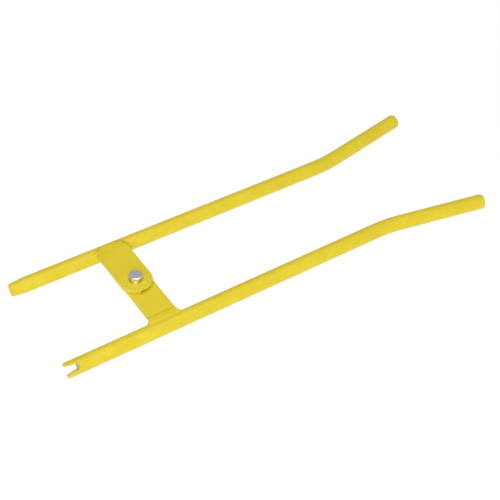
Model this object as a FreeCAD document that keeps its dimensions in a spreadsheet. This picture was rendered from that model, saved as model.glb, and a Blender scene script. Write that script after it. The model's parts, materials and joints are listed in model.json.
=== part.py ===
import FreeCAD, Part
import math
import os

import Sketcher

# Scissor tow bar for a light aircraft's nose wheel: two bent tube arms, each with a welded
# pivot plate, joined by one bolt so that the forked tips open and close across the wheel.
#
# Row frame: +X runs from the forked tips to the handles, +Z is up, and the origin is on the
# ground under the middle of the bounding box. The tubes lie on the ground (Z = 0).
# "left" and "right" are as seen by the person at the handles who faces the tips, so the left
# arm is on the -Y side. All lengths are in millimetres and all angles in degrees.

SIZES = {
    # tubes
    "TubeDiameter": 24.0,
    "TubeWall": 2.0,
    "ArmSpacing": 182.6,
    "ArmToe": 0.5,
    "LeftTipReach": 162.1,
    "RightTipReach": 166.0,
    "BendReach": 400.1,
    "HandleLength": 170.0,
    "FlareAngle": 11.7,
    "BendRadius": 220.0,
    # forked tips
    "TipLength": 34.0,
    "SpigotLength": 16.0,
    "SpigotFit": 0.05,
    "SlotWidth": 9.8,
    "SlotDepth": 19.0,
    "SlotTilt": 45.0,
    "SlotCorner": 3.0,
    "MouthWidth": 13.4,
    "MouthDepth": 12.0,
    "ProngRound": 1.6,
    # handle end plugs
    "PlugLength": 8.0,
    "PlugRound": 3.0,
    # seam welds between a tube and its tip or plug, ground flush
    "SeamDepth": 1.2,
    # pivot plates
    "PlateThickness": 6.35,
    "PlateGap": 1.0,
    "LeftPlateWidth": 45.4,
    "LeftPlateLean": 1.2,
    "LeftPlateOffset": 1.4,
    "RightPlateWidth": 50.8,
    "RightPlateLean": 2.3,
    "RightPlateInset": 3.0,
    "RightPlateCorner": 20.0,
    "PlateChamfer": 0.5,
    # plate welds
    "WeldToe": 7.5,
    "WeldCrest": 72.0,
    "WeldRise": 1.2,
    "WeldLeg": 4.5,
    "WeldCorner": 10.0,
    "WeldRoot": 1.0,
    "UnderToe": 12.0,
    "WedgeRoot": 60.0,
    "WedgeToe": 20.0,
    "EndBeadRadius": 3.2,
    "EndBeadLift": 1.0,
    # pivot hardware
    "BoltDiameter": 12.7,
    "HeadFlats": 19.05,
    "HeadHeight": 7.9,
    "HexChamfer": 30.0,
    "HeadTurn": 27.0,
    "WasherDiameter": 22.2,
    "WasherThickness": 1.6,
    "NutHeight": 8.3,
    "NutCollar": 2.6,
    "CollarWall": 1.0,
    "InsertDepth": 1.8,
    "InsertWall": 1.5,
    "BoltOverhang": 1.6,
    "BoltEndChamfer": 1.2,
    "BushWall": 1.6,
    "BushPlay": 0.1,
    "RunningFit": 0.05,
    "SpacerDiameter": 36.0,
}

LEFT = -1
RIGHT = 1
SIDE_NAMES = {LEFT: "left", RIGHT: "right"}
X_AXIS = FreeCAD.Vector(1, 0, 0)
Z_AXIS = FreeCAD.Vector(0, 0, 1)

doc = FreeCAD.newDocument("TowBar")


def fill_sheet():
    """Put every driving dimension in the spreadsheet under its own name."""
    new_sheet = doc.addObject("Spreadsheet::Sheet", "Sizes")
    for row, (alias, value) in enumerate(SIZES.items(), start=1):
        new_sheet.set("A%d" % row, alias)
        new_sheet.set("B%d" % row, str(value))
        new_sheet.setAlias("B%d" % row, alias)
    doc.recompute()
    return new_sheet


sheet = fill_sheet()


def size(expression):
    """The value of an expression in the spreadsheet's names."""
    return float(sheet.evalExpression(expression))


# Expressions worked out from the driving dimensions. Heights are measured from the tubes'
# centre plane. The right plate rests on the crest of its tube, and the left plate lies under
# it with a thin spacer washer between them.

TUBE_RADIUS = "Sizes.TubeDiameter / 2"
BORE_RADIUS = "(Sizes.TubeDiameter / 2 - Sizes.TubeWall)"
BOLT_RADIUS = "Sizes.BoltDiameter / 2"
BUSH_RADIUS = "(Sizes.BoltDiameter / 2 + Sizes.BushWall)"
HOLE_RADIUS = "(Sizes.BoltDiameter / 2 + Sizes.BushWall + Sizes.RunningFit)"

RIGHT_PLATE_BOTTOM = size(TUBE_RADIUS)
RIGHT_PLATE_TOP = RIGHT_PLATE_BOTTOM + size("Sizes.PlateThickness")
LEFT_PLATE_TOP = RIGHT_PLATE_BOTTOM - size("Sizes.PlateGap")
LEFT_PLATE_BOTTOM = LEFT_PLATE_TOP - size("Sizes.PlateThickness")
HEAD_WASHER_BOTTOM = RIGHT_PLATE_TOP + size("Sizes.BushPlay")
HEAD_BOTTOM = HEAD_WASHER_BOTTOM + size("Sizes.WasherThickness")
NUT_WASHER_TOP = LEFT_PLATE_BOTTOM - size("Sizes.BushPlay")
NUT_WASHER_BOTTOM = NUT_WASHER_TOP - size("Sizes.WasherThickness")
NUT_BOTTOM = NUT_WASHER_BOTTOM - size("Sizes.NutHeight")
BOLT_END = NUT_BOTTOM - size("Sizes.BoltOverhang")

# The left plate's square end meets the flank of its tube along its lower edge.
LEFT_PLATE_END = math.sqrt(size(TUBE_RADIUS) ** 2 - LEFT_PLATE_BOTTOM**2)


def handle_reach():
    """Distance along X from the pivot to the furthest point of a handle's rounded end."""
    toe = math.radians(size("Sizes.ArmToe"))
    flare = math.radians(size("Sizes.FlareAngle - Sizes.ArmToe"))
    rim_round = size("Sizes.PlugRound")
    rim_along = size("Sizes.HandleLength") - rim_round
    rim_out = size(TUBE_RADIUS) - rim_round
    bend = size("Sizes.BendReach") * math.cos(toe) + size("Sizes.ArmSpacing / 2") * math.sin(toe)
    return bend + rim_along * math.cos(flare) + rim_out * math.sin(flare) + rim_round


def right_tip_reach():
    """Distance along -X from the pivot to the foremost point of the right arm's tip."""
    toe = math.radians(size("Sizes.ArmToe"))
    inset = size("(Sizes.ArmSpacing - Sizes.TubeDiameter) / 2")
    return size("Sizes.RightTipReach") * math.cos(toe) - inset * math.sin(toe)


PIVOT_X = (right_tip_reach() - handle_reach()) / 2
PIVOT = FreeCAD.Vector(PIVOT_X, 0, size(TUBE_RADIUS))


# Frames ---------------------------------------------------------------------------------------


def vec(x, y, z=0.0):
    return FreeCAD.Vector(x, y, z)


def pivot_frame(height=0.0, angle=0.0):
    """A frame on the pivot axis, at a height above the tubes' centre plane."""
    return FreeCAD.Placement(PIVOT + vec(0, 0, height), FreeCAD.Rotation(Z_AXIS, angle))


def toed_frame(side, height=0.0, angle=0.0):
    """A pivot frame turned with one arm. The arms stand open a little more at the tips."""
    return pivot_frame(height, angle - side * size("Sizes.ArmToe"))


def arm_frame(side, reach=0.0, tilt=0.0):
    """A frame on the centre line of one tube's straight run, at a distance past the pivot.

    Its Y points outward, away from the other arm, so both arms are drawn alike.
    """
    base = vec(reach, side * size("Sizes.ArmSpacing") / 2, 0)
    turn = 0.0 if side == RIGHT else 180.0
    local = FreeCAD.Placement(base, FreeCAD.Rotation(X_AXIS, turn + tilt))
    return toed_frame(side).multiply(local)


def tip_reach(side):
    """The name of one arm's reach from the pivot to its tip."""
    return "Sizes.LeftTipReach" if side == LEFT else "Sizes.RightTipReach"


def handle_frame(side, back=0.0):
    """A frame at the outer end of one handle, or a distance back from it, with X outward."""
    flare = FreeCAD.Rotation(Z_AXIS, size("Sizes.FlareAngle"))
    along = flare.multVec(vec(size("Sizes.HandleLength") - back, 0))
    local = FreeCAD.Placement(along + vec(size("Sizes.BendReach"), 0), flare)
    return arm_frame(side).multiply(local)


# Sketch and feature helpers -------------------------------------------------------------------


def new_body(label, placement):
    body = doc.addObject("PartDesign::Body", label)
    body.Label = label
    body.Placement = placement
    return body


def new_sketch(body, name, role="XY_Plane", lift=None):
    """A sketch on one of the body's own planes, lifted off it by an expression."""
    plane = next(item for item in body.Origin.OriginFeatures if item.Role == role)
    sketch = body.newObject("Sketcher::SketchObject", name)
    sketch.AttachmentSupport = (plane, "")
    sketch.MapMode = "FlatFace"
    if lift:
        sketch.setExpression("AttachmentOffset.Base.z", lift)
    return sketch


def bind(sketch, constraint, expression):
    """Add a constraint to a sketch and drive its value from the spreadsheet."""
    index = sketch.addConstraint(constraint)
    sketch.setExpression("Constraints[%d]" % index, expression)


def pin(sketch, edge, end, x_expression, y_expression):
    """Hold one end of an edge at a place given by two expressions."""
    for kind, expression in (("DistanceX", x_expression), ("DistanceY", y_expression)):
        start = size(expression)
        bind(sketch, Sketcher.Constraint(kind, -1, 1, edge, end, start), expression)


def add_circle(sketch, radius):
    """A circle about the sketch's origin, with its radius driven by an expression."""
    start = size(radius)
    edge = sketch.addGeometry(Part.Circle(vec(0, 0), Z_AXIS, start))
    sketch.addConstraint(Sketcher.Constraint("Coincident", edge, 3, -1, 1))
    bind(sketch, Sketcher.Constraint("Radius", edge, start), radius)


def add_outline(sketch, corners):
    """A closed outline of straight lines through corners given as pairs of expressions."""
    count = len(corners)
    points = [vec(size(x), size(y)) for x, y in corners]
    lines = []
    for index in range(count):
        line = Part.LineSegment(points[index], points[(index + 1) % count])
        lines.append(sketch.addGeometry(line))
    for index in range(count):
        following = lines[(index + 1) % count]
        sketch.addConstraint(Sketcher.Constraint("Coincident", lines[index], 2, following, 1))
        pin(sketch, lines[index], 1, *corners[index])


def add_pad(body, sketch, length):
    pad = body.newObject("PartDesign::Pad", "Pad")
    pad.Profile = sketch
    pad.Length = size(length)
    pad.setExpression("Length", length)
    return pad


def add_revolution(body, sketch):
    """Turn an outline on the XY plane a full turn about the body's X axis."""
    turned = body.newObject("PartDesign::Revolution", "Revolution")
    turned.Profile = sketch
    turned.ReferenceAxis = (sketch, ["H_Axis"])
    turned.Angle = 360.0
    return turned


def dress_edges(body, kind, base, value, wanted):
    """Fillet or chamfer the edges of a feature that pass a test."""
    doc.recompute()
    names = []
    for number, edge in enumerate(base.Shape.Edges, start=1):
        if wanted(edge):
            names.append("Edge%d" % number)
    if not names:
        raise ValueError("no edges to dress on " + body.Label)
    dressed = body.newObject("PartDesign::" + kind, kind)
    dressed.Base = (base, names)
    value_name = "Radius" if kind == "Fillet" else "Size"
    setattr(dressed, value_name, size(value))
    dressed.setExpression(value_name, value)
    body.Tip = dressed
    doc.recompute()
    return dressed


def lies_at(axis, place):
    """A test for edges that lie wholly at one coordinate along an axis of the body."""

    def test(edge):
        box = edge.BoundBox
        low = getattr(box, axis + "Min")
        high = getattr(box, axis + "Max")
        return abs(low - place) < 1e-4 and abs(high - place) < 1e-4

    return test


def ring_body(label, placement, outer, inner, length):
    """A plain ring or sleeve standing on the XY plane of its frame."""
    body = new_body(label, placement)
    sketch = new_sketch(body, "Section")
    add_circle(sketch, outer)
    add_circle(sketch, inner)
    add_pad(body, sketch, length)
    return body


# Arms -----------------------------------------------------------------------------------------


def make_tube(side):
    """A straight tube with one gentle outward bend, open at both ends for the tip and plug."""
    body = new_body(SIDE_NAMES[side] + "_arm_tube", arm_frame(side))
    tangent = "Sizes.BendRadius * tan(Sizes.FlareAngle / 2)"
    handle = "(Sizes.HandleLength - Sizes.PlugLength)"
    tube_start = "-(" + tip_reach(side) + " - Sizes.TipLength)"
    stations = [
        (tube_start, "0"),
        ("Sizes.BendReach - " + tangent, "0"),
        (
            "Sizes.BendReach + " + tangent + " * cos(Sizes.FlareAngle)",
            tangent + " * sin(Sizes.FlareAngle)",
        ),
        (
            "Sizes.BendReach + " + handle + " * cos(Sizes.FlareAngle)",
            handle + " * sin(Sizes.FlareAngle)",
        ),
    ]
    points = [vec(size(x), size(y)) for x, y in stations]
    radius = size("Sizes.BendRadius")
    halfway = math.radians(size("Sizes.FlareAngle") / 2 - 90)
    centre = points[1] + vec(0, radius)
    middle = centre + vec(radius * math.cos(halfway), radius * math.sin(halfway))

    spine = new_sketch(body, "Spine")
    straight = spine.addGeometry(Part.LineSegment(points[0], points[1]))
    bend = spine.addGeometry(Part.Arc(points[1], middle, points[2]))
    handle_run = spine.addGeometry(Part.LineSegment(points[2], points[3]))
    pin(spine, straight, 1, *stations[0])
    pin(spine, straight, 2, *stations[1])
    pin(spine, handle_run, 1, *stations[2])
    pin(spine, handle_run, 2, *stations[3])
    spine.addConstraint(Sketcher.Constraint("Tangent", straight, 2, bend, 1))
    spine.addConstraint(Sketcher.Constraint("Coincident", bend, 2, handle_run, 1))

    section = new_sketch(body, "Section", "YZ_Plane", tube_start)
    add_circle(section, TUBE_RADIUS)
    add_circle(section, BORE_RADIUS)
    pipe = body.newObject("PartDesign::AdditivePipe", "Pipe")
    pipe.Profile = section
    pipe.Spine = (spine, ["Edge1", "Edge2", "Edge3"])
    doc.recompute()

    def outer_rim(edge):
        round_edge = isinstance(edge.Curve, Part.Circle)
        closed = edge.isClosed()
        return round_edge and closed and abs(edge.Curve.Radius - size(TUBE_RADIUS)) < 1e-3 and (
            edge.CenterOfMass.x < points[0].x + 1 or edge.CenterOfMass.x > points[3].x - 1
        )

    dress_edges(body, "Chamfer", pipe, "Sizes.SeamDepth", outer_rim)
    return body


def end_piece(label, placement, length, rim_round):
    """A solid round end: outer part flush with the tube, bevelled shoulder, spigot inside it.

    Its outer face is at X = 0 of its frame and its spigot points along +X.
    """
    body = new_body(label, placement)
    sketch = new_sketch(body, "Profile")
    spigot_radius = BORE_RADIUS + " - Sizes.SpigotFit"
    spigot_end = length + " + Sizes.SpigotLength"
    shoulder = TUBE_RADIUS + " - Sizes.SeamDepth"
    corners = [
        ("0", "0"),
        ("0", TUBE_RADIUS),
        (length + " - Sizes.SeamDepth", TUBE_RADIUS),
        (length, shoulder),
        (length, spigot_radius),
        (spigot_end, spigot_radius),
        (spigot_end, "0"),
    ]
    add_outline(sketch, corners)
    turned = add_revolution(body, sketch)
    rounded = dress_edges(body, "Fillet", turned, rim_round, lies_at("X", 0))
    return body, rounded


def make_tip(side):
    """A solid end piece with a slot across it, tilted up and away from the wheel.

    The slot is open at the end of the tip, where its mouth flares to guide the lug in.
    """
    frame = arm_frame(side, -size(tip_reach(side)), -side * size("Sizes.SlotTilt"))
    body, rounded = end_piece(SIDE_NAMES[side] + "_fork_tip", frame, "Sizes.TipLength",
                              "Sizes.ProngRound")
    sketch = new_sketch(body, "Slot")
    half_width = "Sizes.SlotWidth / 2"
    half_mouth = "Sizes.MouthWidth / 2"
    upper_side = [
        ("Sizes.SlotDepth", half_width),
        ("Sizes.MouthDepth", half_width),
        ("0", half_mouth),
        ("-Sizes.MouthDepth", half_mouth),
    ]
    lower_side = [(x, "-" + y) for x, y in reversed(upper_side)]
    add_outline(sketch, upper_side + lower_side)
    before = rounded.Shape.Volume
    slot = body.newObject("PartDesign::Pocket", "SlotCut")
    slot.Profile = sketch
    slot.Type = "ThroughAll"
    slot.SideType = "Symmetric"
    body.Tip = slot
    doc.recompute()
    if slot.Shape.Volume > before - 1:
        raise ValueError("the slot cut nothing from " + body.Label)

    def root_corner(edge):
        centre = edge.CenterOfMass
        upright = edge.BoundBox.ZLength > size(TUBE_RADIUS)
        at_root = abs(centre.x - size("Sizes.SlotDepth")) < 1e-4
        return upright and at_root

    dress_edges(body, "Fillet", slot, "Sizes.SlotCorner", root_corner)
    return body


def make_plug(side):
    """A short solid plug that closes the handle end of one tube."""
    inward = FreeCAD.Placement(vec(0, 0), FreeCAD.Rotation(Z_AXIS, 180))
    frame = handle_frame(side).multiply(inward)
    return end_piece(SIDE_NAMES[side] + "_handle_plug", frame, "Sizes.PlugLength",
                     "Sizes.PlugRound")[0]


def make_seam(side, end, placement):
    """The ring of weld metal in the V between a tube and its end piece, ground flush."""
    body = new_body("%s_%s_seam_weld" % (SIDE_NAMES[side], end), placement)
    sketch = new_sketch(body, "Profile")
    corners = [
        ("-Sizes.SeamDepth", TUBE_RADIUS),
        ("0", TUBE_RADIUS + " - Sizes.SeamDepth"),
        ("Sizes.SeamDepth", TUBE_RADIUS),
    ]
    add_outline(sketch, corners)
    add_revolution(body, sketch)
    return body


# Pivot plates ---------------------------------------------------------------------------------


def make_plate(label, placement, width, reach, offset, lean):
    """A flat bar from the pivot towards -Y of its frame, with a full round at the pivot.

    Its middle line may pass the pivot at an offset. Its frame leans off square to the tube, and
    its foot is cut along the tube.
    """
    body = new_body(label, placement)
    sketch = new_sketch(body, "Outline")
    radius = "(" + width + ") / 2"
    low_x = "(" + offset + " - " + radius + ")"
    high_x = "(" + offset + " + " + radius + ")"
    start_radius = size(radius)
    start_offset = size(offset)
    foot = "-(" + reach + ") / cos(" + lean + ") - tan(" + lean + ") * "
    stations = [(low_x, "0"), (low_x, foot + low_x), (high_x, foot + high_x), (high_x, "0")]
    points = [vec(size(x), size(y)) for x, y in stations]
    sides = []
    for index in range(3):
        sides.append(sketch.addGeometry(Part.LineSegment(points[index], points[index + 1])))
        pin(sketch, sides[index], 1, *stations[index])
    pin(sketch, sides[2], 2, *stations[3])
    for index in range(2):
        meeting = Sketcher.Constraint("Coincident", sides[index], 2, sides[index + 1], 1)
        sketch.addConstraint(meeting)
    crown = Part.Arc(points[3], vec(start_offset, start_radius), points[0])
    arc = sketch.addGeometry(crown)
    sketch.addConstraint(Sketcher.Constraint("Tangent", sides[2], 2, arc, 1))
    sketch.addConstraint(Sketcher.Constraint("Coincident", arc, 2, sides[0], 1))
    add_circle(sketch, HOLE_RADIUS)
    return body, add_pad(body, sketch, "Sizes.PlateThickness")


def break_plate_edges(body, feature):
    """A small chamfer round both faces of a plate."""
    thickness = size("Sizes.PlateThickness")
    on_bottom = lies_at("Z", 0)
    on_top = lies_at("Z", thickness)
    dress_edges(body, "Chamfer", feature, "Sizes.PlateChamfer", lambda e: on_bottom(e) or on_top(e))


def make_left_plate():
    """The lower plate, cut square where it meets the flank of its tube."""
    end_inset = "sqrt((Sizes.TubeDiameter / 2)^2 - (Sizes.TubeDiameter / 2 - Sizes.PlateGap"
    end_inset += " - Sizes.PlateThickness)^2)"
    reach = "Sizes.ArmSpacing / 2 - " + end_inset
    lean = "Sizes.LeftPlateLean"
    frame = toed_frame(LEFT, LEFT_PLATE_BOTTOM, size(lean))
    body, feature = make_plate("left_pivot_plate", frame, "Sizes.LeftPlateWidth", reach,
                               "Sizes.LeftPlateOffset", lean)
    break_plate_edges(body, feature)
    return body


def make_right_plate():
    """The upper plate, with rounded corners where it lies on the crest of its tube."""
    reach = "Sizes.ArmSpacing / 2 - Sizes.RightPlateInset"
    lean = "Sizes.RightPlateLean"
    frame = toed_frame(RIGHT, RIGHT_PLATE_BOTTOM, 180 + size(lean))
    body, feature = make_plate("right_pivot_plate", frame, "Sizes.RightPlateWidth", reach,
                               "0", lean)

    def outer_corner(edge):
        upright = edge.BoundBox.ZLength > size("Sizes.PlateThickness") / 2
        return upright and edge.CenterOfMass.y < -size("Sizes.ArmSpacing / 3")

    doc.recompute()
    rounded = dress_edges(body, "Fillet", feature, "Sizes.RightPlateCorner", outer_corner)
    break_plate_edges(body, rounded)
    return body


# Plate welds ----------------------------------------------------------------------------------
# Each bead fills the corner between a plate and its tube and only touches them. Its section
# follows both pieces, so it is a shape of its own, drawn in its arm's pivot frame at the height
# of the tubes' centre plane and cut to its neighbours after it is laid.


def tube_line(side):
    return side * size("Sizes.ArmSpacing") / 2


def tube_core(side):
    """A solid bar on one tube's straight run, used to trim a weld."""
    length = 4 * size("Sizes.RightPlateWidth")
    start = vec(-length / 2, tube_line(side), 0)
    return Part.makeCylinder(size(TUBE_RADIUS), length, start, X_AXIS)


def on_tube(side, angle):
    """The (y, z) point of a tube's surface at an angle up from the level towards the pivot."""
    radius = size(TUBE_RADIUS)
    across = radius * math.cos(math.radians(angle))
    return tube_line(side) - side * across, radius * math.sin(math.radians(angle))


def in_arm(side, piece):
    """The shape of a finished piece, as it lies in its arm's pivot frame."""
    shape = piece.Shape.copy()
    shape.Placement = toed_frame(side).inverse().multiply(shape.Placement)
    return shape


def plate_middle(side, reach, lean, offset="0"):
    """Where a leaning plate's middle line is along X, at a distance from the pivot."""
    return -side * size(offset + " + " + reach + " * tan(" + lean + ")")


def bead_prism(corners, rise, length, middle_x):
    """A bead along X. Its corners are (y, z), and its face from last to first bulges by a rise."""
    points = [vec(middle_x - length / 2, y, z) for y, z in corners]
    edges = []
    for index in range(len(points) - 1):
        edges.append(Part.LineSegment(points[index], points[index + 1]).toShape())
    chord = points[0] - points[-1]
    outward = vec(0, -chord.z, chord.y).normalize()
    middle = (points[0] + points[-1]) / 2
    inside = points[1] - middle
    if outward.dot(inside) > 0:
        outward = outward.negative()
    crown = middle + outward * rise
    edges.append(Part.Arc(points[-1], crown, points[0]).toShape())
    return Part.Face(Part.Wire(edges)).extrude(vec(length, 0, 0))


def corner_web(x_sign, middle_x):
    """Weld metal with a hollow face, in the corner between the left plate's edge and its tube.

    It is drawn upright against a level surface, with some metal under both for trimming, and
    then laid back against the shoulder of the tube.
    """
    scale = size("Sizes.WeldCorner")
    metal_to_trim = 1.5
    block_side = 0.6 * scale + metal_to_trim
    hollow_radius = 1.08 * scale
    length = size("Sizes.TubeDiameter")
    low = -length / 2
    block = Part.makeBox(block_side, block_side, length, vec(-metal_to_trim, -metal_to_trim, low))
    hollow = Part.makeCylinder(hollow_radius, length, vec(scale, scale, low), Z_AXIS)
    web = block.cut(hollow)
    if x_sign < 0:
        web = web.mirror(vec(0, 0), X_AXIS)
    shoulder_angle = 45
    shoulder_y, shoulder_z = on_tube(LEFT, shoulder_angle)
    edge = middle_x + x_sign * size("Sizes.LeftPlateWidth") / 2
    place = vec(edge, shoulder_y, shoulder_z)
    web.Placement = FreeCAD.Placement(place, FreeCAD.Rotation(X_AXIS, shoulder_angle))
    bottom = LEFT_PLATE_BOTTOM + size("Sizes.WeldRoot")
    height = LEFT_PLATE_TOP + size("Sizes.WeldRise") / 4 - bottom
    slab_corner = vec(edge - length, shoulder_y - length, bottom)
    slab = Part.makeBox(2 * length, 2 * length, height, slab_corner)
    return web.common(slab)


def lay_weld(label, side, shape):
    weld = doc.addObject("Part::Feature", label)
    weld.Label = label
    weld.Shape = shape.removeSplitter()
    weld.Placement = toed_frame(side)
    return weld


def make_left_welds(plate):
    """The broad bead over the left plate's end and edges, and the fillet under the plate."""
    plate_here = in_arm(LEFT, plate)
    core = tube_core(LEFT)
    middle_x = plate_middle(LEFT, "(Sizes.ArmSpacing - Sizes.TubeDiameter) / 2",
                            "Sizes.LeftPlateLean", "Sizes.LeftPlateOffset")
    width = size("Sizes.LeftPlateWidth")
    flank = tube_line(LEFT) + size(TUBE_RADIUS)
    end = tube_line(LEFT) + LEFT_PLATE_END
    root = LEFT_PLATE_BOTTOM + size("Sizes.WeldRoot")
    top_corners = [
        (flank + size("Sizes.WeldToe"), LEFT_PLATE_TOP),
        (end, LEFT_PLATE_TOP),
        (end, root),
        (tube_line(LEFT), root),
        on_tube(LEFT, size("Sizes.WeldCrest")),
    ]
    bead = bead_prism(top_corners, size("Sizes.WeldRise"), width, middle_x)
    for x_sign in (-1, 1):
        bead = bead.fuse(corner_web(x_sign, middle_x).cut(plate_here))
    under_corners = [
        (flank + size("Sizes.WeldLeg"), LEFT_PLATE_BOTTOM),
        (tube_line(LEFT), LEFT_PLATE_BOTTOM),
        (tube_line(LEFT), -size("Sizes.WeldLeg")),
        on_tube(LEFT, -size("Sizes.UnderToe")),
    ]
    under = bead_prism(under_corners, size("Sizes.WeldRise") / 2, width, middle_x)
    return [
        lay_weld("left_plate_top_weld", LEFT, bead.cut(core)),
        lay_weld("left_plate_under_weld", LEFT, under.cut(core)),
    ]


def right_under_bead():
    """The fillet in the wedge between the underside of the right plate and its tube."""
    inner = on_tube(RIGHT, size("Sizes.WedgeRoot"))
    corners = [
        (tube_line(RIGHT) - size(TUBE_RADIUS) - size("Sizes.WeldLeg"), RIGHT_PLATE_BOTTOM),
        (inner[0], RIGHT_PLATE_BOTTOM),
        inner,
        (inner[0], 0),
        on_tube(RIGHT, size("Sizes.WedgeToe")),
    ]
    length = size("Sizes.RightPlateWidth - Sizes.RightPlateCorner / 2")
    middle_x = plate_middle(RIGHT, "(Sizes.ArmSpacing - Sizes.TubeDiameter) / 2",
                            "Sizes.RightPlateLean")
    return bead_prism(corners, size("Sizes.WeldRise") / 2, length, middle_x).cut(tube_core(RIGHT))


def right_end_path(plate_here):
    """The line of the right plate's rounded end, a little above the plate's underside."""
    height = RIGHT_PLATE_BOTTOM + size("Sizes.EndBeadLift")
    outlines = plate_here.slice(Z_AXIS, height)
    outline = max(outlines, key=lambda wire: wire.Length)
    beyond = 0.75 * tube_line(RIGHT)
    end_edges = [edge for edge in outline.Edges if edge.CenterOfMass.y > beyond]
    return Part.Wire(Part.sortEdges(end_edges)[0])


def make_right_welds(plate):
    """The bead round the right plate's end on top of the tube, and the fillet under the plate."""
    plate_here = in_arm(RIGHT, plate)
    under = right_under_bead()
    path = right_end_path(plate_here)
    start = path.OrderedEdges[0]
    first = path.OrderedVertexes[0].Point
    at_first = start.Curve.parameter(first)
    direction = start.tangentAt(at_first)
    ring = Part.Circle(first, direction, size("Sizes.EndBeadRadius"))
    profile = Part.Wire([ring.toShape()])
    bead = path.makePipeShell([profile], True, False)
    flank = tube_line(RIGHT) - size(TUBE_RADIUS)
    reach = size("Sizes.ArmSpacing")
    on_tube_only = Part.makeBox(2 * reach, reach, reach, vec(-reach, flank, 0))
    bead = bead.common(on_tube_only).cut(tube_core(RIGHT)).cut(plate_here).cut(under)
    return [
        lay_weld("right_plate_end_weld", RIGHT, bead),
        lay_weld("right_plate_under_weld", RIGHT, under),
    ]


# Pivot hardware -------------------------------------------------------------------------------


def add_primitive(body, kind, name, lift, **values):
    """A PartDesign primitive on the body's Z axis, with its sizes driven by expressions."""
    solid = body.newObject("PartDesign::" + kind, name)
    solid.Placement = FreeCAD.Placement(vec(0, 0, size(lift)), FreeCAD.Rotation())
    solid.setExpression("Placement.Base.z", lift)
    if kind == "AdditivePrism":
        solid.Polygon = 6
    for property_name, expression in values.items():
        setattr(solid, property_name, size(expression))
        solid.setExpression(property_name, expression)
    return solid


HEX_CORNER = "Sizes.HeadFlats / 2 / cos(30)"


def crown_hex(body, top):
    """Turn down the corners of a hexagon at the height of its outer face."""
    sketch = new_sketch(body, "Crown", "XZ_Plane")
    flat_radius = "Sizes.HeadFlats / 2"
    beyond = HEX_CORNER + " + 1"
    drop = "(" + beyond + " - " + flat_radius + ") * tan(Sizes.HexChamfer)"
    corners = [(flat_radius, top), (beyond, top), (beyond, top + " - " + drop)]
    add_outline(sketch, corners)
    groove = body.newObject("PartDesign::Groove", "CrownCut")
    groove.Profile = sketch
    groove.ReferenceAxis = (sketch, ["V_Axis"])
    groove.Angle = 360.0
    body.Tip = groove
    doc.recompute()
    return groove


def make_bolt():
    """The hexagon-headed pivot bolt, its shank running down through the bush and nut."""
    frame = pivot_frame(HEAD_BOTTOM, size("Sizes.HeadTurn"))
    body = new_body("pivot_bolt", frame)
    shank = "(" + " + ".join([
        "2 * Sizes.WasherThickness",
        "2 * Sizes.BushPlay",
        "2 * Sizes.PlateThickness",
        "Sizes.PlateGap",
        "Sizes.NutHeight",
        "Sizes.BoltOverhang",
    ]) + ")"
    add_primitive(body, "AdditivePrism", "Head", "0", Circumradius=HEX_CORNER,
                  Height="Sizes.HeadHeight")
    crown_hex(body, "Sizes.HeadHeight")
    rod = add_primitive(body, "AdditiveCylinder", "Shank", "-" + shank, Radius=BOLT_RADIUS,
                        Height=shank)
    dress_edges(body, "Chamfer", rod, "Sizes.BoltEndChamfer", lies_at("Z", -size(shank)))
    return body


def make_nut():
    """A thin self-locking nut: hexagon, round collar, and a recess for its insert."""
    frame = pivot_frame(NUT_WASHER_BOTTOM)
    frame.Rotation = FreeCAD.Rotation(X_AXIS, 180)
    body = new_body("lock_nut", frame)
    hexagon = "(Sizes.NutHeight - Sizes.NutCollar)"
    add_primitive(body, "AdditivePrism", "Hexagon", "0", Circumradius=HEX_CORNER, Height=hexagon)
    crown_hex(body, hexagon)
    add_primitive(body, "AdditiveCylinder", "Collar", hexagon,
                  Radius="Sizes.HeadFlats / 2 - Sizes.CollarWall", Height="Sizes.NutCollar")
    add_primitive(body, "SubtractiveCylinder", "Bore", "0", Radius=BOLT_RADIUS,
                  Height="Sizes.NutHeight")
    recess = add_primitive(body, "SubtractiveCylinder", "Recess",
                           "Sizes.NutHeight - Sizes.InsertDepth",
                           Radius=BOLT_RADIUS + " + Sizes.InsertWall",
                           Height="Sizes.InsertDepth")
    body.Tip = recess
    return body


def make_insert():
    """The plastic ring in the nut's collar that grips the bolt's thread."""
    frame = pivot_frame(NUT_BOTTOM)
    outer = BOLT_RADIUS + " + Sizes.InsertWall"
    return ring_body("nut_insert", frame, outer, BOLT_RADIUS, "Sizes.InsertDepth")


def make_bush():
    """The sleeve that the bolt clamps and that both plates turn or sit on."""
    frame = pivot_frame(NUT_WASHER_TOP)
    length = "2 * Sizes.PlateThickness + Sizes.PlateGap + 2 * Sizes.BushPlay"
    return ring_body("pivot_bush", frame, BUSH_RADIUS, BOLT_RADIUS, length)


def make_spacer():
    """The thin washer that keeps the two painted plates apart."""
    frame = pivot_frame(LEFT_PLATE_TOP)
    outer = "Sizes.SpacerDiameter / 2"
    return ring_body("plate_spacer", frame, outer, HOLE_RADIUS, "Sizes.PlateGap")


def make_washers():
    """The two equal washers, one under the bolt's head and one above the nut."""
    rings = []
    for place, height in (("Head", HEAD_WASHER_BOTTOM), ("Nut", NUT_WASHER_BOTTOM)):
        disc = doc.addObject("Part::Cylinder", place + "WasherDisc")
        bore = doc.addObject("Part::Cylinder", place + "WasherBore")
        disc.setExpression("Radius", "Sizes.WasherDiameter / 2")
        bore.setExpression("Radius", BOLT_RADIUS)
        for cylinder in (disc, bore):
            cylinder.setExpression("Height", "Sizes.WasherThickness")
            cylinder.Placement = pivot_frame(height)
        ring = doc.addObject("Part::Cut", place + "WasherRing")
        ring.Base = disc
        ring.Tool = bore
        rings.append(ring)
    pair = doc.addObject("Part::Compound", "pivot_washers")
    pair.Label = "pivot_washers"
    pair.Links = rings
    return pair


# Assembly -------------------------------------------------------------------------------------


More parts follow.
